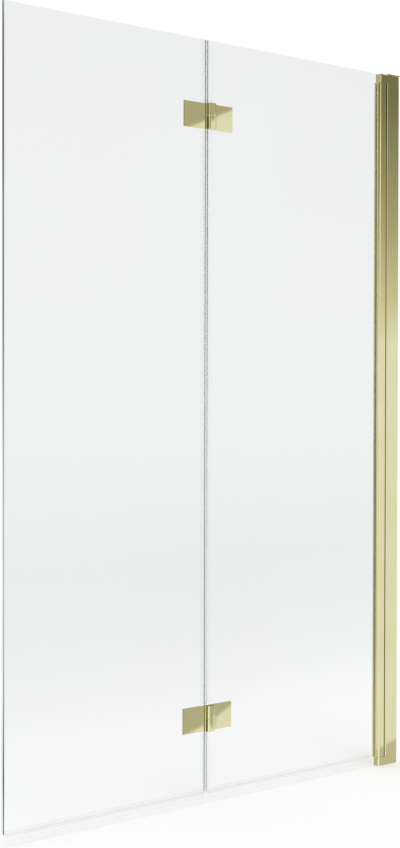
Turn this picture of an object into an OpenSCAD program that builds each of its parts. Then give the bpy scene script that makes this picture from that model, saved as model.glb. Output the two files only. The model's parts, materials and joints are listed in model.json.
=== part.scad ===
// Folding bath screen: two frameless glass leaves, two glass-to-glass hinges and a pivoting wall post.
// Origin: the wall pivot axis, at the level of the bath rim. +X points to the wall, +Z up,
// and -Y is the side that the hinge knuckles stand on and that the outer leaf folds towards.

/* [Screen] */
// Height from the bath rim to the top of the glass and of the post
screen_h = 1400; // [1300:10:1600]
// Width from the wall to the free edge, with both leaves in line
screen_w = 1000; // [900:10:1200]
// Width of the outer leaf's pane
outer_pane_w = 459.5; // [400:0.5:500]
// Gap between the two panes
leaf_gap = 5; // [4.5:0.1:6]
// Height of the panes' bottom edges above the bath rim
glass_lift = 22.5; // [21:0.5:30]
// Thickness of the panes
glass_t = 6; // [5:0.5:8]

/* [Wall post] */
// Depth of the post, front to back
post_d = 15; // [14:0.5:20]
// Width of the cover profile, seen from the front
cover_w = 35; // [32:0.2:44]
// Adjustment left between the cover profile and the wall
wall_reveal = 4; // [1:0.5:10]
// Groove between the turning barrel and the cover profile
groove_w = 2.6; // [1.6:0.1:3.4]
// Wall thickness of the cover profile
cover_wall = 1.5; // [1.2:0.1:2]
// Thickness of the cover profile's front and back lips
lip_t = 2.5; // [2:0.1:2.8]
// How far the lips stand out to the left of the web
lip_reach = 2.4; // [2:0.1:4]
// Outer width of the wall channel, front to back
channel_w = 8; // [7.4:0.2:9]
// Length of the wall channel's legs, out from the wall
channel_l = 28; // [25:0.5:29]
// Wall thickness of the channel's legs
channel_wall = 1.2; // [1:0.1:1.5]
// Thickness of the channel's base, against the wall
channel_base_t = 2; // [1.6:0.1:3]
// Thickness of the ribs that guide the channel
rib_t = 1.5; // [1:0.1:2]
// Distance of the first guide rib from the web
rib_start = 9.7; // [9.2:0.1:11]
// Distance between the two guide ribs
rib_pitch = 16; // [14:0.5:17]
// Radius of the wall fixing holes
wall_hole_r = 2.3; // [1.8:0.1:2.4]
// Distance of the end fixing holes from the channel's ends
wall_hole_inset = 110; // [60:5:300]

/* [Post caps] */
// Height of the top and bottom caps
cap_h = 17.5; // [16:0.5:24]
// Depth of the plug that each cap pushes into the cover profile
cap_plug_h = 8; // [5:0.5:14]
// Radius of the caps' corners at the wall side
cap_corner_r = 0.8; // [0.4:0.1:1.5]
// Thickness of the lid on the top cap
lid_t = 2.2; // [1.6:0.1:4]
// Left end of the lid, to the right of the pivot axis
lid_start = 10; // [9:0.5:11]
// Length of the lid's pegs
peg_l = 5; // [3:0.5:8]
// Radius of the lid's pegs
peg_r = 1.5; // [1:0.1:2]

/* [Pivot barrel] */
// From the pivot axis to the barrel's left face
barrel_left = 11.5; // [11:0.1:13]
// From the pivot axis to the barrel's right face
barrel_right = 6.2; // [5.6:0.1:6.6]
// Radius of the barrel's four long edges
barrel_edge_r = 2.5; // [2:0.1:3]
// How far the glass jaw stands out from the barrel
jaw_reach = 5.5; // [4:0.5:8]
// Wall thickness of the jaw
jaw_wall = 1.2; // [1:0.1:1.6]
// Thickness of the glazing gasket on each side of the glass
jaw_gasket_t = 1; // [0.6:0.1:1.2]
// From the pivot axis to the end of the glass slot
slot_end = 5.5; // [5:0.1:6.5]
// Radius of the bore along the pivot axis
barrel_bore_r = 3.5; // [3.1:0.1:3.8]
// Radius of the pivot pins
post_pin_r = 2.5; // [2:0.1:2.7]
// Length of each pivot pin inside the barrel
pin_in_barrel = 20; // [12:1:30]
// Length of each pivot pin inside its bush
pin_in_bush = 10.5; // [8:0.5:12]
// Outer radius of the pivot bushes
bush_r = 4; // [3.6:0.1:4.6]
// Outer radius of the bush flange that the barrel turns on
bush_flange_r = 5.5; // [5:0.1:6]
// Thickness of the bush flange
bush_flange_t = 0.5; // [0.5:0.1:1]
// From the pivot axis to the edge of the glass beside the caps
notch_x = 19; // [17.5:0.5:26]
// Height between a cap and the part of the glass that enters the barrel
notch_gap = 2.5; // [1:0.5:6]

/* [Hinges] */
// From the top of the glass to the middle of the upper hinge
hinge_top_drop = 140; // [100:5:300]
// From the bottom of the glass to the middle of the lower hinge
hinge_bottom_rise = 136.5; // [100:0.5:300]
// Height of the hinges
hinge_h = 47; // [42:1:60]
// Width of each hinge plate
plate_w = 51.3; // [44:0.1:64]
// Thickness of the front plates
plate_t = 2; // [1.8:0.1:3]
// Thickness of the back clamp plates
clamp_t = 2.5; // [2.4:0.1:4]
// How far the clamp plates stay back from the front plates' outer ends
clamp_end_inset = 11; // [4:0.5:14]
// How far the clamp plates stay back from the front plates' top and bottom edges
clamp_edge_inset = 2.5; // [0.5:0.5:4]
// Thickness of the gaskets between plates and glass
gasket_t = 0.5; // [0.4:0.1:1]
// How far the gaskets stay back from the plates' edges
gasket_inset = 0.6; // [0.3:0.1:2]
// Width of the knuckle
knuckle_w = 16.6; // [15.6:0.1:17]
// Depth of the knuckle in front of the plates
knuckle_d = 12.4; // [12:0.1:13]
// Radius of the knuckle's two front edges
knuckle_edge_r = 2.4; // [2.4:0.1:3.5]
// Radius of the back edge that turns past the other leaf's plate
knuckle_back_r = 5.5; // [5.4:0.1:6.5]
// Clearance between the knuckle and the rib beside it
knuckle_gap = 0.4; // [0.4:0.05:0.8]
// Thickness of the rib along each plate's inner edge
leaf_rib_t = 0.8; // [0.6:0.1:1.2]
// How far the ribs stand out from the plates
leaf_rib_h = 4.3; // [3:0.1:4.5]
// Distance of the hinge pins' axis from the front plates
fold_depth = 7.5; // [7.3:0.1:7.9]
// Radius of the hinge pins
hinge_pin_r = 2.5; // [2:0.1:3]
// Metal left beyond each end of a hinge pin
pin_cover = 2; // [1.5:0.5:5]
// Thickness of the washer between the knuckle's halves
washer_t = 0.5; // [0.4:0.1:1.5]
// Outer radius of the washer
washer_r = 5; // [4:0.1:5.6]
// Distance of the knuckle's dark buffer strip from the front plates
buffer_start = 4.8; // [4.6:0.1:5.6]
// Width of the buffer strip
buffer_w = 2.6; // [1.5:0.1:3.5]
// How far the buffer strip stands out of the knuckle's side
buffer_proud = 0.1; // [0.05:0.05:0.2]

/* [Clamp screws] */
// Distance between the two screws of a leaf
screw_pitch = 24; // [20:1:30]
// Radius of the clamp screws
screw_r = 2.4; // [2:0.1:2.5]
// Radius of the screws' countersunk heads
screw_head_r = 4.6; // [4:0.1:5]
// Height of the screws' countersunk heads
screw_head_h = 2.1; // [1.8:0.1:2.2]
// Radius of the threaded bosses that pass through the glass
boss_r = 4.5; // [4.2:0.1:5]
// Wall thickness of the collars that line the holes in the glass
collar_t = 1.3; // [1:0.1:2]

/* [Seals] */
// Thickness of the bottom seals' legs and walls
seal_wall = 0.9; // [0.6:0.1:1.4]
// How far the bottom seals' legs reach up the glass
seal_leg_h = 6; // [4:0.5:12]
// Height of the bottom seals' body below the glass
seal_body_h = 4; // [3:0.5:6]
// Thickness of the bottom seals' fins
fin_t = 0.8; // [0.6:0.1:1.4]
// Height between the fins and the bath rim
fin_gap = 0.5; // [0.3:0.1:2]
// How far the drip fin stands out to the front
drip_reach = 3.3; // [2:0.1:6]
// How far the drip fin hangs below the seal's body
drip_h = 6.5; // [3:0.5:10]
// From the post to the inner leaf's bottom seal
seal_end_gap = 15.5; // [8:0.5:40]
// How far the bottom seals stay back from the panes' edges at the fold
seal_fold_inset = 1; // [0.5:0.5:4]
// Thickness of the fold seals' clips
clip_t = 0.7; // [0.5:0.1:1]
// How far the fold seals' legs reach along the glass
clip_reach = 8; // [4:0.5:12]
// Gap between the fold seals and each hinge or bottom seal
clip_hinge_gap = 1; // [0.5:0.5:4]
// Wall thickness of the hollow bulb on the inner fold seal
bulb_wall = 0.5; // [0.3:0.1:0.6]

/* [Hidden] */
$fn = 64;

// Clearances: turning pins, pieces seated in each other, flat faces that turn, sliding profiles,
// plugs and screws in their holes, and pieces that only stand inside each other
run_gap = 0.05;
seat_gap = 0.03;
thrust_gap = 0.1;
slide_gap = 0.1;
plug_gap = 0.2;
loose_gap = 0.4;
// Overlap of a cutting tool past the face that it cuts
cut = 1;

// Room past the end of a plug, peg or bush, past the glass and gaskets in the slot, and past the channel
end_gap = 0.5;
slot_end_gap = 1;
channel_end_gap = 2;

// How far the jaw's gaskets stand out of it, and the metal and plug left beyond the ends of the pins
jaw_gasket_proud = 0.6;
bush_floor = 1.5;
plug_floor = 4;

// Places along X
cover_x = barrel_right + groove_w;
cover_end = cover_x + cover_w;
wall_x = cover_end + wall_reveal;
web_x = cover_x + lip_reach;
web_end = web_x + cover_wall;
rib_x = web_end + rib_start;
free_edge_x = wall_x - screen_w;
fold_x = free_edge_x + outer_pane_w + leaf_gap / 2;
jaw_x = -(barrel_left + jaw_reach);

// Places along Y
half_post = post_d / 2;
half_glass = glass_t / 2;
half_slot = half_glass + jaw_gasket_t;
half_jaw = half_slot + jaw_wall;
half_channel = channel_w / 2;
plate_back_y = -(half_glass + gasket_t);
plate_front_y = plate_back_y - plate_t;
fold_y = plate_front_y - fold_depth;
rib_tip_y = plate_front_y - leaf_rib_h + leaf_rib_t / 2;
clamp_y = half_glass + gasket_t;
clamp_end_y = clamp_y + clamp_t;

// Places along Z
cap_top_z = screen_h - cap_h;
barrel_z = cap_h + bush_flange_t + thrust_gap;
barrel_top_z = screen_h - barrel_z;
bush_z = cap_h - pin_in_bush - bush_floor;
channel_z = cap_h + cap_plug_h + channel_end_gap;
channel_top_z = screen_h - channel_z;
upper_hinge_z = screen_h - hinge_top_drop;
lower_hinge_z = glass_lift + hinge_bottom_rise;

// The post's cap screws and the port that they turn into
cap_screw_r = 1.7;
cap_screw_head_r = 3.2;
cap_screw_head_h = 2.4;
cap_screw_l = 30;
port_r = 3.2;
port_sink = 0.5;
counterbore_rest = 0.8;
port_bore_r = cap_screw_r + run_gap;
port_x = web_end + port_r - port_sink;
counterbore_h = cap_screw_head_h + counterbore_rest;
counterbore_r = cap_screw_head_r + loose_gap;

// The channel's fixing holes, and the screws that lock the cover profile to it
wall_hole_heights = spread(channel_z + wall_hole_inset, channel_top_z - wall_hole_inset, 4);
lock_screw_r = 1.75;
lock_head_r = 3.1;
lock_screw_x = rib_x + rib_t + (rib_pitch - rib_t) / 2;
lock_heights = spread(channel_z + wall_hole_inset / 2, channel_top_z - wall_hole_inset / 2, 3);
lock_screw_tip = 0.4;
lock_socket_r = 1.3;

// Sizes worked out once for the hinges
plate_in = knuckle_w / 2 + knuckle_gap + leaf_rib_t;
screw_u = plate_in + plate_w / 2;
glass_hole_r = boss_r + collar_t + plug_gap;
boss_end_y = half_glass - loose_gap;
boss_bore_y = plate_back_y - plate_t / 4;
socket_r = 1.7;
socket_h = 1.4;
buffer_bed = 0.8;
buffer_y = plate_front_y - buffer_start;

// The hollow bulb of the inner fold seal
bulb_gap = 0.4;
bulb_r = (leaf_gap - 2 * clip_t - bulb_gap + clip_t / 3) / 2;

// A rectangle from (x0, y0) to (x1, y1) whose corners have the radii r, anticlockwise from (x0, y0)
module rounded_rect(x0, y0, x1, y1, r) {
    corners = [[x0, y0, 1, 1], [x1, y0, -1, 1], [x1, y1, -1, -1], [x0, y1, 1, -1]];
    difference() {
        translate([x0, y0]) square([x1 - x0, y1 - y0]);
        for (i = [0:3]) {
            corner = corners[i];
            tool = r[i] + cut;
            centre = [corner[0] + corner[2] * r[i], corner[1] + corner[3] * r[i]];
            difference() {
                translate([centre[0] - (corner[2] > 0 ? tool : 0), centre[1] - (corner[3] > 0 ? tool : 0)])
                    square(tool);
                translate(centre) circle(r[i]);
            }
        }
    }
}

// A rectangle between two corners
module rect(x0, y0, x1, y1) {
    translate([x0, y0]) square([x1 - x0, y1 - y0]);
}

// A plan, drawn in X and Y, from one height to another
module upright(z0, z1) {
    translate([0, 0, z0]) linear_extrude(height = z1 - z0) children();
}

// A section, drawn as Y and Z, along X
module lengthwise(x0, x1) {
    translate([x0, 0, 0]) rotate([90, 0, 90]) linear_extrude(height = x1 - x0) children();
}

// A round bar along Y, straight or tapered
module cross_bar(x, y0, y1, z, r0, r1) {
    translate([x, y0, z]) rotate([-90, 0, 0]) cylinder(h = y1 - y0, r1 = r0, r2 = r1);
}

// A straight round bar along Y, at a place given as X and Z
module straight_bar(place, y0, y1, r) {
    cross_bar(place[0], y0, y1, place[1], r, r);
}

// A round bar or tube along Z
module post_bar(x, y, z0, z1, r) {
    translate([x, y, z0]) cylinder(h = z1 - z0, r = r);
}

// Evenly spaced heights between two ends
function spread(z0, z1, count) = [for (i = [0:count - 1]) z0 + (z1 - z0) * i / (count - 1)];

// Wall post: channel, cover profile, caps

module wall_channel() {
    inner = half_channel - channel_wall;
    color("silver") difference() {
        upright(channel_z, channel_top_z) difference() {
            rect(wall_x - channel_l, -half_channel, wall_x, half_channel);
            rect(wall_x - channel_l - cut, -inner, wall_x - channel_base_t, inner);
        }
        for (z = wall_hole_heights)
            translate([wall_x - channel_base_t - cut, 0, z]) rotate([0, 90, 0])
                cylinder(h = channel_base_t + 2 * cut, r = wall_hole_r);
        for (z = lock_heights)
            straight_bar([lock_screw_x, z], inner - cut, half_channel + cut, lock_screw_r + run_gap);
    }
}

// The cover profile's section: two lips, a web with a screw port, two walls and four guide ribs
module cover_section() {
    inner = half_post - cover_wall;
    rib_end = half_channel + slide_gap;
    difference() {
        rounded_rect(cover_x, -half_post, cover_end, half_post, [lip_t - 0.5, 0.5, 0.5, lip_t - 0.5]);
        rect(cover_x - cut, -(half_post - lip_t), web_x, half_post - lip_t);
        rect(web_end, -inner, cover_end + cut, inner);
    }
    difference() {
        translate([port_x, 0]) circle(port_r);
        translate([port_x, 0]) circle(port_bore_r);
    }
    for (x = [rib_x, rib_x + rib_pitch], side = [-1, 1])
        rect(x, side > 0 ? rib_end : -inner - slide_gap, x + rib_t, side > 0 ? inner + slide_gap : -rib_end);
}

module cover_profile() {
    color("gold") difference() {
        upright(cap_h, cap_top_z) cover_section();
        for (z = lock_heights) {
            straight_bar([lock_screw_x, z], half_channel, half_post + cut, lock_screw_r + run_gap);
            cross_bar(lock_screw_x, half_post - cover_wall, half_post, z,
                lock_screw_r + run_gap, lock_head_r + run_gap);
        }
    }
}

module locking_screws() {
    color("silver")
        for (z = lock_heights) difference() {
            union() {
                straight_bar([lock_screw_x, z], lock_screw_tip, half_post - cover_wall, lock_screw_r);
                cross_bar(lock_screw_x, half_post - cover_wall, half_post, z, lock_screw_r, lock_head_r);
            }
            translate([lock_screw_x, half_post, z]) rotate([90, 30, 0])
                cylinder(h = cover_wall, r = lock_socket_r, $fn = 6);
        }
}

// A cap over the whole post, drawn as the bottom one: its foot at Z = 0
module post_cap() {
    plug_x = rib_x + rib_t + loose_gap;
    plug_end = rib_x + rib_pitch - loose_gap;
    plug_y = half_post - cover_wall - plug_gap;
    difference() {
        union() {
            upright(0, cap_h) rounded_rect(-barrel_left, -half_post, cover_end, half_post,
                [barrel_edge_r, cap_corner_r, cap_corner_r, barrel_edge_r]);
            upright(cap_h, cap_h + cap_plug_h) rect(plug_x, -plug_y, plug_end, plug_y);
        }
        post_bar(0, 0, bush_z - end_gap, cap_h + cut, bush_r);
        post_bar(port_x, 0, -cut, cap_h + cut, cap_screw_r + plug_gap);
        post_bar(port_x, 0, -cut, counterbore_h, counterbore_r);
    }
}

// Turns a piece drawn at the foot of the post over, to the top of the post
module at_top() {
    translate([0, 0, screen_h]) mirror([0, 0, 1]) children();
}

peg_places = [rib_x + 3, rib_x + rib_pitch];

module top_cap() {
    color("gold") difference() {
        at_top() post_cap();
        for (x = peg_places) post_bar(x, 0, screen_h - peg_l - end_gap, screen_h + cut, peg_r + run_gap);
    }
}

module top_lid() {
    color("gold") union() {
        upright(screen_h, screen_h + lid_t) rect(lid_start, -half_post, wall_x, half_post);
        for (x = peg_places) post_bar(x, 0, screen_h - peg_l, screen_h, peg_r);
    }
}

module bottom_cap() {
    color("gold") post_cap();
}

// The screw under the bottom cap, drawn with its head at the foot of the post
module cap_screw() {
    head_z = counterbore_h - cap_screw_head_h;
    difference() {
        union() {
            post_bar(port_x, 0, head_z, counterbore_h, cap_screw_head_r);
            post_bar(port_x, 0, counterbore_h, cap_screw_l, cap_screw_r);
        }
        translate([port_x, 0, head_z - cut]) cylinder(h = socket_h + cut, r = socket_r, $fn = 6);
    }
}

module cap_screws() {
    color("silver") union() {
        cap_screw();
        at_top() cap_screw();
    }
}

// A flanged bush, drawn as the bottom one
module pivot_bush() {
    difference() {
        union() {
            post_bar(0, 0, bush_z, cap_h, bush_r - seat_gap);
            post_bar(0, 0, cap_h, cap_h + bush_flange_t, bush_flange_r);
        }
        post_bar(0, 0, bush_z - cut, cap_h + bush_flange_t + cut, post_pin_r + run_gap);
    }
}

module top_bush() {
    color("ivory") at_top() pivot_bush();
}

module bottom_bush() {
    color("ivory") pivot_bush();
}

// Pivot barrel, which the inner leaf turns with

module barrel_section() {
    difference() {
        union() {
            rounded_rect(-barrel_left, -half_post, barrel_right, half_post,
                [barrel_edge_r, barrel_edge_r, barrel_edge_r, barrel_edge_r]);
            rect(jaw_x, -half_jaw, -barrel_left + cut, half_jaw);
        }
        rect(jaw_x - cut, -half_slot, -slot_end, half_slot);
        circle(barrel_bore_r);
    }
}

module pivot_barrel() {
    color("gold") upright(barrel_z, barrel_top_z) barrel_section();
}

// The plug that holds a pivot pin in the barrel's end, drawn as the bottom one
module barrel_plug() {
    difference() {
        post_bar(0, 0, barrel_z, barrel_z + pin_in_barrel + plug_floor, barrel_bore_r - seat_gap);
        post_bar(0, 0, barrel_z - cut, barrel_z + pin_in_barrel, post_pin_r + seat_gap);
    }
}

module top_barrel_plug() {
    color("dimgray") at_top() barrel_plug();
}

module bottom_barrel_plug() {
    color("dimgray") barrel_plug();
}

module pivot_pin() {
    post_bar(0, 0, cap_h - pin_in_bush, barrel_z + pin_in_barrel, post_pin_r);
}

module top_pivot_pin() {
    color("silver") at_top() pivot_pin();
}

module bottom_pivot_pin() {
    color("silver") pivot_pin();
}

module jaw_gaskets() {
    color("gainsboro") upright(barrel_z, barrel_top_z)
        for (y = [-half_slot, half_glass])
            rect(jaw_x - jaw_gasket_proud, y, -slot_end - slot_end_gap, y + jaw_gasket_t);
}

// Glass

// The places of the holes in a pane, and of all that passes through them; side is -1 outer, 1 inner
function screw_places(side, hinge_z) = [
    for (step = [-1, 1]) [fold_x + side * screw_u, hinge_z + step * screw_pitch / 2]
];

module glass_holes(side) {
    for (hinge_z = [upper_hinge_z, lower_hinge_z], place = screw_places(side, hinge_z))
        straight_bar(place, -half_glass - cut, half_glass + cut, glass_hole_r);
}

module inner_glass() {
    tongue_z = max(glass_lift, cap_h + notch_gap);
    color("paleturquoise", 0.4) difference() {
        union() {
            upright(glass_lift, screen_h) rect(fold_x + leaf_gap / 2, -half_glass, -notch_x, half_glass);
            upright(tongue_z, cap_top_z - notch_gap)
                rect(-notch_x - cut, -half_glass, -slot_end - end_gap, half_glass);
        }
        glass_holes(1);
    }
}

module outer_glass() {
    color("paleturquoise", 0.4) difference() {
        upright(glass_lift, screen_h) rect(free_edge_x, -half_glass, fold_x - leaf_gap / 2, half_glass);
        glass_holes(-1);
    }
}

// Seals

// The bottom seal's section, drawn as Y and Z: a clip on the glass, a hollow body and two fins
module bottom_seal_section() {
    body_z = glass_lift - seal_body_h;
    half_body = half_glass + seal_wall;
    difference() {
        rect(-half_body, body_z, half_body, glass_lift + seal_leg_h);
        rect(-half_glass, glass_lift, half_glass, glass_lift + seal_leg_h + cut);
        rect(-half_glass, body_z + seal_wall, half_glass, glass_lift - seal_wall);
    }
    rect(-fin_t / 2, fin_gap, fin_t / 2, body_z + seal_wall / 2);
    polygon([
        [-half_body, body_z + seal_wall], [-half_body - drip_reach, body_z - drip_h],
        [-half_body - drip_reach + fin_t, body_z - drip_h], [-half_body + fin_t, body_z]
    ]);
}

module inner_bottom_seal() {
    color("whitesmoke") lengthwise(fold_x + leaf_gap / 2 + seal_fold_inset, -barrel_left - seal_end_gap)
        bottom_seal_section();
}

module outer_bottom_seal() {
    color("whitesmoke") lengthwise(free_edge_x, fold_x - leaf_gap / 2 - seal_fold_inset)
        bottom_seal_section();
}

// The lengths of fold seal below, between and above the hinges
module fold_seal_lengths() {
    half = hinge_h / 2 + clip_hinge_gap;
    upright(glass_lift + seal_leg_h + clip_hinge_gap, lower_hinge_z - half) children();
    upright(lower_hinge_z + half, upper_hinge_z - half) children();
    upright(upper_hinge_z + half, screen_h) children();
}

// A clip round a pane's edge at the fold, drawn for the inner leaf with the fold at X = 0
module clip_section() {
    half_clip = half_glass + clip_t;
    difference() {
        rect(leaf_gap / 2 - clip_t, -half_clip, leaf_gap / 2 + clip_reach, half_clip);
        rect(leaf_gap / 2, -half_glass, leaf_gap / 2 + clip_reach + cut, half_glass);
    }
}

module inner_fold_seal() {
    bulb_x = -leaf_gap / 2 + clip_t + bulb_gap + bulb_r;
    color("whitesmoke") translate([fold_x, 0, 0]) fold_seal_lengths() union() {
        clip_section();
        difference() {
            translate([bulb_x, 0]) circle(bulb_r);
            translate([bulb_x, 0]) circle(bulb_r - bulb_wall);
        }
    }
}

module outer_fold_seal() {
    color("whitesmoke") translate([fold_x, 0, 0]) fold_seal_lengths() mirror([1, 0]) clip_section();
}

// Hinges

// The plan of the inner front leaf with the fold at X = 0: the plate, and the rib along its inner edge
module leaf_plan() {
    rect(plate_in, plate_front_y, plate_in + plate_w, plate_back_y);
    rect(plate_in - leaf_rib_t, rib_tip_y, plate_in, plate_back_y);
    translate([plate_in - leaf_rib_t / 2, rib_tip_y]) circle(leaf_rib_t / 2);
}

// The plan of the inner leaf's half of the knuckle: its left back edge is free, its right one joins the leaf
module knuckle_plan() {
    joint_x = knuckle_w / 2 - knuckle_back_r;
    rounded_rect(-knuckle_w / 2, plate_front_y - knuckle_d, knuckle_w / 2, plate_front_y,
        [knuckle_edge_r, knuckle_edge_r, knuckle_back_r, knuckle_back_r]);
    rect(joint_x, plate_front_y - knuckle_back_r, knuckle_w / 2, plate_back_y);
    rect(joint_x, rib_tip_y, plate_in, plate_back_y);
}

// The plan of the buffer strip, sunk in the left side of the knuckle's lower half
module buffer_plan() {
    rect(-knuckle_w / 2 - buffer_proud, buffer_y - buffer_w, -knuckle_w / 2 + buffer_bed, buffer_y);
}

// A front leaf with its half of the knuckle: the outer leaf has the upper half, the inner the lower
module hinge_leaf(side, hinge_z) {
    half = hinge_h / 2;
    knuckle_z = hinge_z + (side < 0 ? washer_t / 2 : -half);
    knuckle_end = hinge_z + (side < 0 ? half : -washer_t / 2);
    bore_z = side < 0 ? knuckle_z - cut : knuckle_z + pin_cover;
    bore_end = side < 0 ? knuckle_end - pin_cover : knuckle_end + cut;
    bore_r = hinge_pin_r + (side < 0 ? run_gap : seat_gap);
    color("gold") difference() {
        union() {
            translate([fold_x, 0, 0]) mirror([side < 0 ? 1 : 0, 0, 0]) {
                upright(hinge_z - half, hinge_z + half) leaf_plan();
                upright(knuckle_z, knuckle_end) difference() {
                    knuckle_plan();
                    if (side > 0) buffer_plan();
                }
            }
            for (place = screw_places(side, hinge_z))
                straight_bar(place, plate_back_y - plate_t / 2, boss_end_y, boss_r);
        }
        post_bar(fold_x, fold_y, bore_z, bore_end, bore_r);
        for (place = screw_places(side, hinge_z))
            straight_bar(place, boss_bore_y, boss_end_y + cut, screw_r + run_gap);
    }
}

module clamp_plate(side, hinge_z) {
    half = hinge_h / 2 - clamp_edge_inset;
    w = plate_w - clamp_end_inset;
    x0 = fold_x + (side > 0 ? plate_in : -plate_in - w);
    head_y = clamp_end_y - screw_head_h;
    color("gold") difference() {
        upright(hinge_z - half, hinge_z + half) rect(x0, clamp_y, x0 + w, clamp_end_y);
        for (place = screw_places(side, hinge_z)) {
            straight_bar(place, clamp_y - cut, clamp_end_y + cut, screw_r + run_gap);
            cross_bar(place[0], head_y, clamp_end_y, place[1], screw_r + run_gap, screw_head_r + run_gap);
        }
    }
}

// One gasket of a leaf, on the front or the back of the glass, with collars that line the holes
module leaf_gasket(side, hinge_z, face) {
    half = hinge_h / 2 - gasket_inset - (face > 0 ? clamp_edge_inset : 0);
    w = plate_w - (face > 0 ? clamp_end_inset : 0);
    x0 = fold_x + (side > 0 ? plate_in : -plate_in - w);
    y0 = face < 0 ? plate_back_y : half_glass;
    collar_y = face < 0 ? plate_back_y : seat_gap;
    collar_end = face < 0 ? -seat_gap : clamp_y;
    difference() {
        union() {
            upright(hinge_z - half, hinge_z + half)
                rect(x0 + gasket_inset, y0, x0 + w - gasket_inset, y0 + gasket_t);
            for (place = screw_places(side, hinge_z))
                straight_bar(place, collar_y, collar_end, boss_r + collar_t);
        }
        for (place = screw_places(side, hinge_z))
            straight_bar(place, plate_back_y - cut, clamp_y + cut, boss_r + run_gap);
    }
}

module leaf_gaskets(side, hinge_z) {
    color("dimgray") union() {
        leaf_gasket(side, hinge_z, -1);
        leaf_gasket(side, hinge_z, 1);
    }
}

module clamp_screws(side, hinge_z) {
    color("gold") for (place = screw_places(side, hinge_z)) difference() {
        union() {
            straight_bar(place, plate_back_y, clamp_end_y - screw_head_h, screw_r);
            cross_bar(place[0], clamp_end_y - screw_head_h, clamp_end_y, place[1], screw_r, screw_head_r);
        }
        translate([place[0], clamp_end_y - socket_h, place[1]]) rotate([-90, 30, 0])
            cylinder(h = socket_h + cut, r = socket_r, $fn = 6);
    }
}

module hinge_pin(hinge_z) {
    half = hinge_h / 2 - pin_cover - thrust_gap;
    color("silver") post_bar(fold_x, fold_y, hinge_z - half, hinge_z + half, hinge_pin_r);
}

// The rubber strip that the folding leaf comes to rest against
module hinge_buffer(hinge_z) {
    color("dimgray") translate([fold_x, 0, 0])
        upright(hinge_z - hinge_h / 2, hinge_z - washer_t / 2) buffer_plan();
}

module hinge_washer(hinge_z) {
    color("ivory") difference() {
        post_bar(fold_x, fold_y, hinge_z - washer_t / 2, hinge_z + washer_t / 2, washer_r);
        post_bar(fold_x, fold_y, hinge_z - washer_t, hinge_z + washer_t, hinge_pin_r + run_gap);
    }
}

wall_channel();
cover_profile();
locking_screws();
top_cap();
top_lid();
bottom_cap();
cap_screws();
top_bush();
bottom_bush();
pivot_barrel();
top_barrel_plug();
bottom_barrel_plug();
top_pivot_pin();
bottom_pivot_pin();
inner_glass();
jaw_gaskets();
inner_bottom_seal();
inner_fold_seal();
outer_glass();
outer_bottom_seal();
outer_fold_seal();
hinge_leaf(1, upper_hinge_z);  // upper_inner_leaf
clamp_plate(1, upper_hinge_z);  // upper_inner_clamp
leaf_gaskets(1, upper_hinge_z);  // upper_inner_gaskets
clamp_screws(1, upper_hinge_z);  // upper_inner_screws
hinge_pin(upper_hinge_z);  // upper_hinge_pin
hinge_washer(upper_hinge_z);  // upper_hinge_washer
hinge_buffer(upper_hinge_z);  // upper_hinge_buffer
hinge_leaf(1, lower_hinge_z);  // lower_inner_leaf
clamp_plate(1, lower_hinge_z);  // lower_inner_clamp
leaf_gaskets(1, lower_hinge_z);  // lower_inner_gaskets
clamp_screws(1, lower_hinge_z);  // lower_inner_screws
hinge_pin(lower_hinge_z);  // lower_hinge_pin
hinge_washer(lower_hinge_z);  // lower_hinge_washer
hinge_buffer(lower_hinge_z);  // lower_hinge_buffer
hinge_leaf(-1, upper_hinge_z);  // upper_outer_leaf
clamp_plate(-1, upper_hinge_z);  // upper_outer_clamp
leaf_gaskets(-1, upper_hinge_z);  // upper_outer_gaskets
clamp_screws(-1, upper_hinge_z);  // upper_outer_screws
hinge_leaf(-1, lower_hinge_z);  // lower_outer_leaf
clamp_plate(-1, lower_hinge_z);  // lower_outer_clamp
leaf_gaskets(-1, lower_hinge_z);  // lower_outer_gaskets
clamp_screws(-1, lower_hinge_z);  // lower_outer_screws
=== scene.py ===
import json
import math

import bpy
from mathutils import Matrix


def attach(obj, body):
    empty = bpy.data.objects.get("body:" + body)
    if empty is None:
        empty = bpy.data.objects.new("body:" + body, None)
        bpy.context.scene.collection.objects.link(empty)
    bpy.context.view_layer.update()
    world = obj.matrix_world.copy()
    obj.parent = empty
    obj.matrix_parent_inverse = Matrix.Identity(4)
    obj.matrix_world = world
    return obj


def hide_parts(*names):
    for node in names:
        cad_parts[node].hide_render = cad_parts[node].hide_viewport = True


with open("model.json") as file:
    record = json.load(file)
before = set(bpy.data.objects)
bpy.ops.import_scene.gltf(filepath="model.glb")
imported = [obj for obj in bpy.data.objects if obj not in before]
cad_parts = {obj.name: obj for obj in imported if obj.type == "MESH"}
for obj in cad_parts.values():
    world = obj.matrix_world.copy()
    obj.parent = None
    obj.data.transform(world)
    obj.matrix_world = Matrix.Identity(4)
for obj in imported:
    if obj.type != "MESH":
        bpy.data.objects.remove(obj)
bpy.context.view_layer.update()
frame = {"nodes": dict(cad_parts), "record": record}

nodes = frame["nodes"]


# shader helpers

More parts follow.
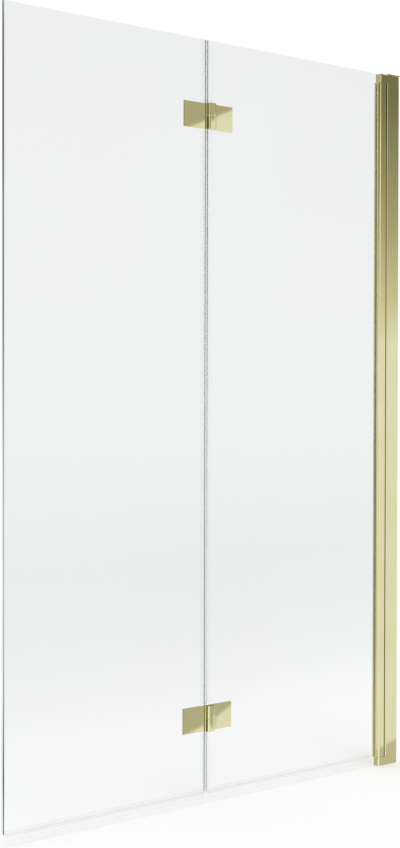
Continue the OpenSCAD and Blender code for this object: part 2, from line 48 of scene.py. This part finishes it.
class Wire:  # a shader socket that takes part in arithmetic
    def __init__(self, graph, socket):
        self.graph = graph
        self.socket = socket

    def maths(self, operation, *others):
        return self.graph.add("ShaderNodeMath", {"operation": operation}, [self, *others])

    def __add__(self, other):
        return self.maths("ADD", other)

    def __sub__(self, other):
        return self.maths("SUBTRACT", other)

    def __mul__(self, other):
        return self.maths("MULTIPLY", other)

    def __truediv__(self, other):
        return self.maths("DIVIDE", other)

    def __pow__(self, other):
        return self.maths("POWER", other)

    def __rsub__(self, other):
        return self * -1 + other

    __radd__ = __add__
    __rmul__ = __mul__

    def rise(self, low, high):  # 0 at low, 1 at high, with a soft step between
        settings = {"interpolation_type": "SMOOTHSTEP"}
        ends = {"Value": self, "From Min": low, "From Max": high}
        return self.graph.add("ShaderNodeMapRange", settings, ends)


class Graph:  # a node tree, and one method that adds any node to it
    def __init__(self, tree):
        self.tree = tree
        tree.nodes.clear()

    def add(self, kind, settings=None, sockets=(), out=0):
        node = self.tree.nodes.new(kind)
        for name, value in (settings or {}).items():
            if name == "stops":
                ramp = node.color_ramp
                while len(ramp.elements) < len(value):
                    ramp.elements.new(0.5)
                for element, (place, colour) in zip(ramp.elements, value):
                    element.position = place
                    element.color = colour
            else:
                setattr(node, name, value)
        pairs = sockets.items() if isinstance(sockets, dict) else enumerate(sockets)
        for name, value in pairs:
            if isinstance(value, Wire):
                self.tree.links.new(value.socket, node.inputs[name])
            else:
                node.inputs[name].default_value = value
        return Wire(self, node.outputs[out]) if node.outputs else node

    def axes(self, vector):  # the X, Y and Z of a vector
        split = self.add("ShaderNodeSeparateXYZ", None, [vector])
        return [Wire(self, socket) for socket in split.socket.node.outputs]

    def blend(self, amount, first, second):  # a colour between two others
        sockets = {0: amount, 6: first, 7: second}
        return self.add("ShaderNodeMix", {"data_type": "RGBA"}, sockets, out=2)

    def ramp(self, value, stops):  # colours placed from 0 to 1, with straight blends between
        return self.add("ShaderNodeValToRGB", {"stops": stops}, [value])

    def noise(self, vector, scale, detail=2.0):
        return self.add("ShaderNodeTexNoise", None,
                        {"Vector": vector, "Scale": scale, "Detail": detail})

    def stretched(self, vector, along):  # a pattern's space, scaled along each axis
        return self.add("ShaderNodeVectorMath", {"operation": "MULTIPLY"}, [vector, along])

    def facing(self):  # 0 face-on, 1 at a grazing angle
        return self.add("ShaderNodeLayerWeight", None, {"Blend": 0.5}, out=1)


def rgb(red, green, blue):
    return (red, green, blue, 1)


def grey(level):
    return (level, level, level, 1)


# camera: the photograph's viewpoint

view = {
    "place": (-2.6744, -2.2889, 0.7507),
    "turn": 43.46,  # degrees to the right of +Y
    "tilt": -0.944,
    "roll": 0.111,
    "lens": 73.26,
    "sensor": 36,
    "reach": 100,   # metres that the camera sees
}


def addCamera():
    bpy.ops.object.select_all(action="DESELECT")
    bpy.ops.object.camera_add()
    camera = bpy.context.object
    camera.name = "photoCamera"
    turn = Matrix.Rotation(math.radians(-view["turn"]), 4, "Z")
    tilt = Matrix.Rotation(math.radians(90 + view["tilt"]), 4, "X")
    roll = Matrix.Rotation(math.radians(view["roll"]), 4, "Z")
    camera.matrix_world = Matrix.Translation(view["place"]) @ turn @ tilt @ roll
    camera.data.lens = view["lens"]
    camera.data.sensor_width = view["sensor"]
    camera.data.clip_end = view["reach"]
    bpy.context.scene.camera = camera


addCamera()
print("camera in place")


# light: a white studio, dark overhead, that metal mirrors

studio = {
    "ambient": 0.9,        # light that falls on everything
    "backdrop": 1.016,     # as bright as the floor, so that no line shows where the floor ends
    "sunPower": 0.5,
    "sunSoftness": 40,     # degrees across
    "sunPlace": (-1.6, -2.2, 3.2),
    "floorSize": 60,
    "floorDrop": 0.0004,   # a hair below the object
    "floorColour": grey(0.8),
    "floorGlow": 0.2,      # lifts the floor to white where the camera sees it
    "clearLayers": 40,     # the panes and clear seals lie many layers deep
}

bright = rgb(0.98, 1.01, 1.10)

# the studio's tone by height, as the sine of the angle above the horizon
wallTones = [
    (-0.40, rgb(0.62, 0.60, 0.56)),
    (-0.26, bright),
    (0.030, bright),
    (0.055, rgb(0.79, 0.79, 0.76)),
    (0.084, rgb(0.60, 0.59, 0.52)),
    (0.112, rgb(0.45, 0.44, 0.35)),
    (0.141, rgb(0.34, 0.33, 0.26)),
    (0.170, rgb(0.24, 0.23, 0.17)),
    (0.40, rgb(0.16, 0.14, 0.09)),
    (0.60, rgb(1.0, 1.0, 0.96)),
]

# cards to the left of the object: paler walls, a white card, and a dark one at the back. Each fades
# in to the left and along a second axis, and its tone changes to another along a third. The axes
# are those of the ray's direction.
cards = [
    {
        "left": (-0.65, 0.05), "axis": "z", "from": (0.0, 0.05), "strength": 0.8,
        "tone": rgb(0.78, 0.76, 0.66),
        "turnAxis": "z", "turn": (0.0, 0.05), "into": rgb(0.78, 0.76, 0.66),
    },
    {
        "left": (-0.86, -0.68), "axis": "y", "from": (-0.60, -0.30), "strength": 1.0,
        "tone": rgb(1.45, 1.45, 1.42),
        "turnAxis": "z", "turn": (0.13, 0.175), "into": rgb(0.95, 0.95, 0.93),
    },
    {
        "left": (-0.62, -0.42), "axis": "y", "from": (0.52, 0.62), "strength": 1.0,
        "tone": rgb(0.58, 0.60, 0.56),  # the post mirrors this side of the turn
        "turnAxis": "y", "turn": (0.665, 0.69),
        "into": rgb(0.33, 0.31, 0.13),  # and the hinges this one
    },
]

# what the flat fronts mirror: places and lines on a screen one unit in front of the object, across
# and upward. A line is given by its slope and its height at 0.
screen = {
    "ahead": (0.05, 0.15),           # how far forward a ray has to point
    "postSide": (1.09, 1.13),
    "floorLine": (0.249, -0.6041),   # the floor's edge beside the wall post
    "floorBlur": 0.0005,
    "floorTone": rgb(0.68, 0.67, 0.64),
    "hingesFrom": (0.86, 0.90),
    "hingesTo": (1.01, 1.05),
    "knuckle": (0.957, 0.958),       # where the left leaf ends and the knuckle starts
    "rightLeaf": (0.966, 0.967),
    "shade": rgb(0.54, 0.54, 0.47),  # above the lines
    # each line over the left leaf, the knuckle and the right leaf
    "upperLines": [(0.4347, -0.1943), (0.4347, -0.1973), (0.4347, -0.1959)],
    "upperBlur": 0.0008,
    "lowerLines": [(0.289, -0.5397), (0.0, -0.2690), (0.5, -0.7437)],
    "lowerBlur": 0.001,
    "lowerEnd": (-0.15, -0.05),      # the lower hinge's shade ends between these heights
    "lowerStrength": 0.9,
}


def brokenLine(lines, across, onKnuckle, onRightLeaf):
    left, middle, right = (across * slope + height for slope, height in lines)
    return left * (1 - onKnuckle) + middle * onKnuckle * (1 - onRightLeaf) + right * onRightLeaf


def frontTones(graph, tone, x, y, z):  # lays what the flat fronts mirror over the studio's tone
    ahead = y * -1
    across = x / ahead
    upward = z / ahead
    inFront = ahead.rise(*screen["ahead"])

    slope, height = screen["floorLine"]
    blur = screen["floorBlur"]
    onFloor = (across * slope + height - upward).rise(-blur, blur)
    besidePost = across.rise(*screen["postSide"]) * inFront
    tone = graph.blend(onFloor * besidePost, tone, screen["floorTone"])

    places = [across, across.rise(*screen["knuckle"]), across.rise(*screen["rightLeaf"])]
    blur = screen["upperBlur"]
    upperShade = (upward - brokenLine(screen["upperLines"], *places)).rise(-blur, blur)
    blur = screen["lowerBlur"]
    lowerShade = (upward - brokenLine(screen["lowerLines"], *places)).rise(-blur, blur)
    lowerShade = lowerShade * (1 - upward.rise(*screen["lowerEnd"])) * screen["lowerStrength"]
    hingeTone = graph.blend(upperShade + lowerShade, bright, screen["shade"])
    nearHinges = across.rise(*screen["hingesFrom"]) * (1 - across.rise(*screen["hingesTo"]))
    return graph.blend(nearHinges * inFront, tone, hingeTone)


def makeStudio():
    world = bpy.data.worlds.new("studio")
    bpy.context.scene.world = world
    world.use_nodes = True
    graph = Graph(world.node_tree)
    x, y, z = graph.axes(graph.add("ShaderNodeTexCoord", out="Generated"))
    lowest = wallTones[0][0]
    tone = graph.ramp(z - lowest, [(height - lowest, colour) for height, colour in wallTones])

    along = {"y": y, "z": z}
    for card in cards:
        inCard = (1 - x.rise(*card["left"])) * along[card["axis"]].rise(*card["from"])
        turned = along[card["turnAxis"]].rise(*card["turn"])
        cardTone = graph.blend(turned, card["tone"], card["into"])
        tone = graph.blend(inCard * card["strength"], tone, cardTone)
    tone = frontTones(graph, tone, x, y, z)

    toCamera, through, mirrored = (
        graph.add("ShaderNodeLightPath", out=name)
        for name in ("Is Camera Ray", "Is Transmission Ray", "Is Glossy Ray"))
    seen = toCamera.maths("MAXIMUM", through)
    ambient = studio["ambient"]
    strength = seen * (studio["backdrop"] - ambient) + mirrored * (1 - ambient) + ambient
    tint = graph.blend(mirrored, grey(1), tone)
    background = graph.add("ShaderNodeBackground", None, [tint, strength])
    graph.add("ShaderNodeOutputWorld", None, [background])


def addSun():
    bpy.ops.object.select_all(action="DESELECT")
    bpy.ops.object.light_add(type="SUN", location=studio["sunPlace"])
    sun = bpy.context.object
    sun.name = "softSun"
    sun.data.energy = studio["sunPower"]
    sun.data.angle = math.radians(studio["sunSoftness"])
    sun.rotation_euler = sun.location.to_track_quat("Z", "Y").to_euler()
    sun.visible_glossy = False  # the metal mirrors the studio, not the lamp


def newMaterial(name):
    material = bpy.data.materials.new(name)
    material.use_nodes = True
    return material, Graph(material.node_tree)


def addFloor():
    bpy.ops.object.select_all(action="DESELECT")
    place = (0, 0, -studio["floorDrop"])
    bpy.ops.mesh.primitive_plane_add(size=studio["floorSize"], location=place)
    floor = bpy.context.object
    floor.name = "studioFloor"
    material, graph = newMaterial("paleFloor")
    shader = graph.add("ShaderNodeBsdfPrincipled", None, {
        "Base Color": studio["floorColour"], "Roughness": 1.0, "Specular IOR Level": 0.0})
    seen = graph.add("ShaderNodeLightPath", out="Is Camera Ray")
    glow = graph.add("ShaderNodeEmission", None, {
        "Color": grey(1), "Strength": seen * studio["floorGlow"]})
    both = graph.add("ShaderNodeAddShader", None, [shader, glow])
    graph.add("ShaderNodeOutputMaterial", None, [both])
    floor.data.materials.append(material)
    floor.visible_glossy = False


makeStudio()
addSun()
addFloor()
bpy.context.scene.view_settings.view_transform = "Standard"
bpy.context.scene.cycles.transparent_max_bounces = studio["clearLayers"]
print("studio lit")


# materials, with their patterns placed by where a point is on the object, in metres

gold = {
    "colour": rgb(0.74, 0.69, 0.40),
    "deep": rgb(0.71, 0.655, 0.36),
    "clouds": 9.0,                # per metre, where the colour deepens
    "cloudsFrom": (0.35, 0.75),
    "drawnGrain": (900, 900, 3),  # faint lines along Z
    "evenGrain": (500, 500, 500),
    "polish": 0.008,
    "smear": 0.016,
    "grain": 0.010,
    "bump": 0.03,
    "bumpHeight": 0.00001,
}


def goldMetal(name, grain):  # polished gold finish
    material, graph = newMaterial(name)
    spot = graph.add("ShaderNodeTexCoord", out="Object")
    cloud = graph.noise(spot, gold["clouds"], 3.0)
    lines = graph.noise(graph.stretched(spot, grain), 1.0)
    colour = graph.blend(cloud.rise(*gold["cloudsFrom"]), gold["colour"], gold["deep"])
    roughness = cloud * gold["smear"] + lines * gold["grain"] + gold["polish"]
    bump = graph.add("ShaderNodeBump", None, {
        "Strength": gold["bump"], "Distance": gold["bumpHeight"], "Height": lines})
    shader = graph.add("ShaderNodeBsdfPrincipled", None, {
        "Base Color": colour, "Metallic": 1.0, "Roughness": roughness, "Normal": bump})
    graph.add("ShaderNodeOutputMaterial", None, [shader])
    return material


plain = {  # colour, metallic, roughness, specular
    "channel": (rgb(0.70, 0.70, 0.71), 1.0, 0.35, 0.5),
    "steel": (rgb(0.60, 0.60, 0.61), 1.0, 0.25, 0.5),
    "nylon": (rgb(0.86, 0.85, 0.80), 0.0, 0.5, 0.5),
    # gasket: the rubber's own near-black; on the hinge buffers it is painted shade, a dark strip
    # set where the knuckle's gap shows only shade
    "gasket": (rgb(0.04, 0.028, 0.002), 0.0, 0.6, 0.1),
    # glazing: painted reflection: the clear gasket inside the jaw, seen through the glass, is pale
    # gold to stand in for the gold it mirrors there
    "glazing": (rgb(0.88, 0.85, 0.52), 0.0, 0.4, 0.5),
}
unevenness = {
    "speckle": 260.0,  # per metre
    "patches": 14.0,
    "darker": 0.86,    # how dark a patch is
    "swing": 0.16,     # how far the roughness varies
}


def plainMaterial(name):
    colour, metallic, roughness, specular = plain[name]
    material, graph = newMaterial(name)
    spot = graph.add("ShaderNodeTexCoord", out="Object")
    speckle = graph.noise(spot, unevenness["speckle"])
    patches = graph.noise(spot, unevenness["patches"])
    darker = rgb(*(channel * unevenness["darker"] for channel in colour[:3]))
    swing = unevenness["swing"]
    shader = graph.add("ShaderNodeBsdfPrincipled", None, {
        "Base Color": graph.blend(patches, colour, darker), "Metallic": metallic,
        "Roughness": speckle * swing + (roughness - swing / 2), "Specular IOR Level": specular})
    graph.add("ShaderNodeOutputMaterial", None, [shader])
    return material


glass = {
    "clear": rgb(0.992, 0.996, 0.994),  # what each face lets through where the pane is lightest
    "grey": rgb(0.900, 0.908, 0.904),   # and where it is darkest, a painted reflection of the darker studio
    "tone": [  # painted reflection: how grey the pane is by height, from the bottom, standing in for the lighter and darker studio it mirrors
        (0.02, grey(0.02)),
        (0.10, grey(0.17)),
        (0.16, grey(0.54)),
        (0.21, grey(0.79)),
        (0.27, grey(0.88)),
        (0.32, grey(0.92)),
        (0.42, grey(0.81)),
        (0.52, grey(0.71)),
        (0.66, grey(0.67)),
        (0.75, grey(0.72)),
        (1.0, grey(0.77)),
    ],
    "mirror": grey(0.95),
    "polish": 0.01,
    "glint": 0.004,   # how much it mirrors face-on
    "grazing": 5,     # how late the mirroring sets in towards a grazing angle
    "height": 1.4,
}


def glassFace():
    material, graph = newMaterial("clearGlass")
    z = graph.axes(graph.add("ShaderNodeTexCoord", out="Object"))[2]
    # the pane's grey by height is painted reflection, not a tint the glass has
    tone = graph.ramp(z / glass["height"], glass["tone"])
    clearest = graph.add("ShaderNodeBsdfTransparent", None, [glass["clear"]])
    paintedReflectionGrey = graph.add("ShaderNodeBsdfTransparent", None, [glass["grey"]])
    through = graph.add("ShaderNodeMixShader", None, [tone, clearest, paintedReflectionGrey])
    mirror = graph.add("ShaderNodeBsdfPrincipled", None, {
        "Base Color": glass["mirror"], "Metallic": 1.0, "Roughness": glass["polish"]})
    amount = graph.facing() ** glass["grazing"] + glass["glint"]
    shader = graph.add("ShaderNodeMixShader", None, [amount, through, mirror])
    graph.add("ShaderNodeOutputMaterial", None, [shader])
    return material


# the panes' edges: tones of their front and back halves by height, as green, from the bottom up;
# how dark they are; and the band across the edge that is seen, as millimetres behind the middle
# painted light and shade: each edge's lighter and darker stretches by height, the different tones
# of its front and back halves, and how much of it shows stand in for what the edge mirrors and lets
# through; the green is the glass's own
edgeLooks = {
    "free": {
        "front": [
            (0.03, 0.14), (0.08, 0.02), (0.18, 0.27), (0.30, 0.50), (0.41, 0.48), (0.53, 0.34),
            (0.65, 0.20), (0.76, 0.28), (0.83, 0.19), (0.92, 0.22), (0.97, 0.25), (1.0, 0.50),
        ],
        "back": [
            (0.03, 0.84), (0.08, 0.55), (0.18, 0.86), (0.30, 0.88), (0.41, 0.80), (0.53, 0.55),
            (0.65, 0.28), (0.76, 0.25), (0.83, 0.03), (0.92, 0.01), (0.97, 0.01), (1.0, 0.05),
        ],
        "cover": [(0.0, 1.0), (1.0, 1.0)],
        "band": (-2.1, 4.0),
    },
    "foldOuter": {
        "front": [(0.0, 0.20), (0.5, 0.22), (1.0, 0.20)],
        "cover": [(0.05, 0.95), (0.4, 0.90), (1.0, 0.95)],
        "band": (-0.5, 1.9),
    },
    "foldInner": {
        "front": [(0.0, 0.20), (0.5, 0.24), (1.0, 0.18)],
        "cover": [
            (0.07, 0.60), (0.16, 0.30), (0.27, 0.26), (0.40, 0.46), (0.66, 0.90), (0.86, 1.0),
            (1.0, 1.0),
        ],
        "band": (-1.2, 1.2),
    },
    "plain": {
        "front": [(0.0, 0.62), (0.6, 0.50), (1.0, 0.42)],
        "cover": [(0.0, 0.03), (0.5, 0.5), (1.0, 0.10)],
        "band": (-4.0, 4.0),
    },
}
edgeFinish = {
    "red": (0.68, 0.20),    # red against green in the darkest tone, and what a full tone adds
    "blue": (0.90, 0.06),
    "turn": (0.2, 1.0),     # where the front's tone turns into the back's, as for the band
    "softness": 0.3,        # of the band's ends
    "outside": 0.03,        # how much of the cover is left outside the band
    "roughness": 0.08,
    "specular": 0.3,
}


def greenish(level):  # glass seen end-on: the darker, the greener
    red, blue = (least + more * level for least, more in (edgeFinish["red"], edgeFinish["blue"]))
    return rgb(level * red, level, level * blue)


def glassEdge(name):
    look = edgeLooks[name]
    material, graph = newMaterial(name + "Edge")
    x, y, z = graph.axes(graph.add("ShaderNodeTexCoord", out="Object"))
    height = z / glass["height"]
    depth = y * 1000  # -3 at the front of the pane, 3 at the back
    # the front and back tones by height are painted light and shade
    front, back = (
        graph.ramp(height, [(place, greenish(level)) for place, level in levels])
        for levels in (look["front"], look.get("back", look["front"])))
    cover = graph.ramp(height, [(place, grey(level)) for place, level in look["cover"]])
    low, high = look["band"]
    soft = edgeFinish["softness"]
    inBand = depth.rise(low - soft, low + soft) * (1 - depth.rise(high - soft, high + soft))
    outside = edgeFinish["outside"]
    shader = graph.add("ShaderNodeBsdfPrincipled", None, {
        "Base Color": graph.blend(depth.rise(*edgeFinish["turn"]), front, back),
        "Roughness": edgeFinish["roughness"],
        "Specular IOR Level": edgeFinish["specular"],
        "Alpha": cover * (inBand * (1 - outside) + outside)})
    graph.add("ShaderNodeOutputMaterial", None, [shader])
    return material


clear = {
    "colour": rgb(0.84, 0.86, 0.85),
    "roughness": 0.12,
    "alpha": 0.045,
    "rimAlpha": 0.25,            # more at a grazing angle
    "grazing": 3,
    "streaks": (30, 300, 300),   # drawn along X
    "streakAlpha": 0.03,
}


def clearVinyl():
    material, graph = newMaterial("clearVinyl")
    spot = graph.add("ShaderNodeTexCoord", out="Object")
    streaks = graph.noise(graph.stretched(spot, clear["streaks"]), 1.0)
    rim = graph.facing() ** clear["grazing"] * clear["rimAlpha"]
    shader = graph.add("ShaderNodeBsdfPrincipled", None, {
        "Base Color": clear["colour"], "Roughness": clear["roughness"],
        "Alpha": rim + streaks * clear["streakAlpha"] + clear["alpha"]})
    graph.add("ShaderNodeOutputMaterial", None, [shader])
    return material


finishes = {
    "gold_profile": goldMetal("profileGold", gold["drawnGrain"]),
    "gold_hinge": goldMetal("hingeGold", gold["evenGrain"]),
    "glass": glassFace(),
}
edges = {name: glassEdge(name) for name in edgeLooks}
finishes["clear_seal"] = clearVinyl()
finishes.update((name, plainMaterial(name)) for name in plain)
for part in frame["record"]["subparts"]:
    mesh = nodes[part["node"]].data
    mesh.materials.clear()
    mesh.materials.append(finishes[part["material_slot"]])
print("materials made")


# pieces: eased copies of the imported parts

easing = {  # the width of a piece's eased edges, by the end of its name
    "top_cap": 0.0004,
    "top_lid": 0.0005,
    "bottom_cap": 0.0004,
    "leaf": 0.00025,
    "clamp": 0.0003,
    "inner_gaskets": 0.0001,
    "outer_gaskets": 0.0001,
    "screws": 0.0002,
    "pin": 0.0002,
    "washer": 0.0001,
    "hinge_buffer": 0.0002,
    "glass": 0.0004,
}
finish = {
    "weld": 0.000001,   # metres between points that are one
    "flat": 0.5,        # degrees between faces that are one
    "segments": 2,
    "sharp": 30,        # degrees from which an edge is eased
    "smooth": 50,       # degrees up to which faces shade as one
    "paneInset": 0.00004,
}
chamfers = {  # the bright line under the lid is the cap's chamfered top front edge
    "top_cap": {"height": 1.4, "front": -0.0075, "size": 0.0014},
}


def chamferFront(piece, height, front, size):  # the active piece's straight edge at that place
    bpy.ops.object.mode_set(mode="EDIT")
    bpy.ops.mesh.select_mode(type="EDGE")
    bpy.ops.mesh.select_all(action="DESELECT")
    bpy.ops.object.mode_set(mode="OBJECT")
    near = 0.00001
    for edge in piece.data.edges:
        ends = [piece.data.vertices[corner].co for corner in edge.vertices]
        edge.select = all(abs(end.z - height) < near and abs(end.y - front) < near for end in ends)
    bpy.ops.object.mode_set(mode="EDIT")
    bpy.ops.mesh.bevel(offset=size, segments=1, affect="EDGES")
    bpy.ops.object.mode_set(mode="OBJECT")


def easeOf(node):
    return next((width for ending, width in easing.items() if node.endswith(ending)), None)


def easedCopy(node, inset=0):
    bpy.ops.object.select_all(action="DESELECT")
    piece = bpy.data.objects.new(node + "Eased", nodes[node].data.copy())
    bpy.context.collection.objects.link(piece)
    piece.select_set(True)
    bpy.context.view_layer.objects.active = piece
    bpy.ops.object.mode_set(mode="EDIT")
    bpy.ops.mesh.select_all(action="SELECT")
    bpy.ops.mesh.remove_doubles(threshold=finish["weld"])
    bpy.ops.mesh.dissolve_limited(angle_limit=math.radians(finish["flat"]))
    bpy.ops.object.mode_set(mode="OBJECT")
    if node in chamfers:
        chamferFront(piece, **chamfers[node])
    bevel = piece.modifiers.new("ease", "BEVEL")
    bevel.width = easeOf(node)
    bevel.segments = finish["segments"]
    bevel.limit_method = "ANGLE"
    bevel.angle_limit = math.radians(finish["sharp"])
    bevel.use_clamp_overlap = True
    bpy.ops.object.modifier_apply(modifier="ease")
    if inset:  # a hair inside whatever is clipped onto it
        shrink = piece.modifiers.new("inset", "DISPLACE")
        shrink.mid_level = 0
        shrink.strength = -inset
        bpy.ops.object.modifier_apply(modifier="inset")
    bpy.ops.object.shade_smooth_by_angle(angle=math.radians(finish["smooth"]))
    # keeps the flats flat beside their eased edges
    even = piece.modifiers.new("even", "WEIGHTED_NORMAL")
    even.keep_sharp = True
    even.weight = 100
    bpy.ops.object.modifier_apply(modifier="even")
    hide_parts(node)
    return piece


def bodyOf(node):
    groups = frame["record"]["behaviour"]["bodies"]
    return next(body for body, members in groups.items() if node in members)


panes = {  # what the left and right edges look like
    "inner_glass": ("foldInner", "plain"),
    "outer_glass": ("free", "foldOuter"),
}

for node in [node for node in nodes if easeOf(node) and node not in panes]:
    piece = easedCopy(node)
    piece.visible_glossy = not node.startswith(("upper", "lower"))  # the plates mirror the studio
    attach(piece, bodyOf(node))
print("metal pieces eased")

for node, (left, right) in panes.items():
    pane = easedCopy(node, finish["paneInset"])
    for name in (left, right, "plain"):
        pane.data.materials.append(edges[name])
    for face in pane.data.polygons:  # 0 is the flat glass
        if abs(face.normal.y) < 0.9:
            face.material_index = 1 if face.normal.x < -0.5 else 2 if face.normal.x > 0.5 else 3
    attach(pane, bodyOf(node))
print("panes made")
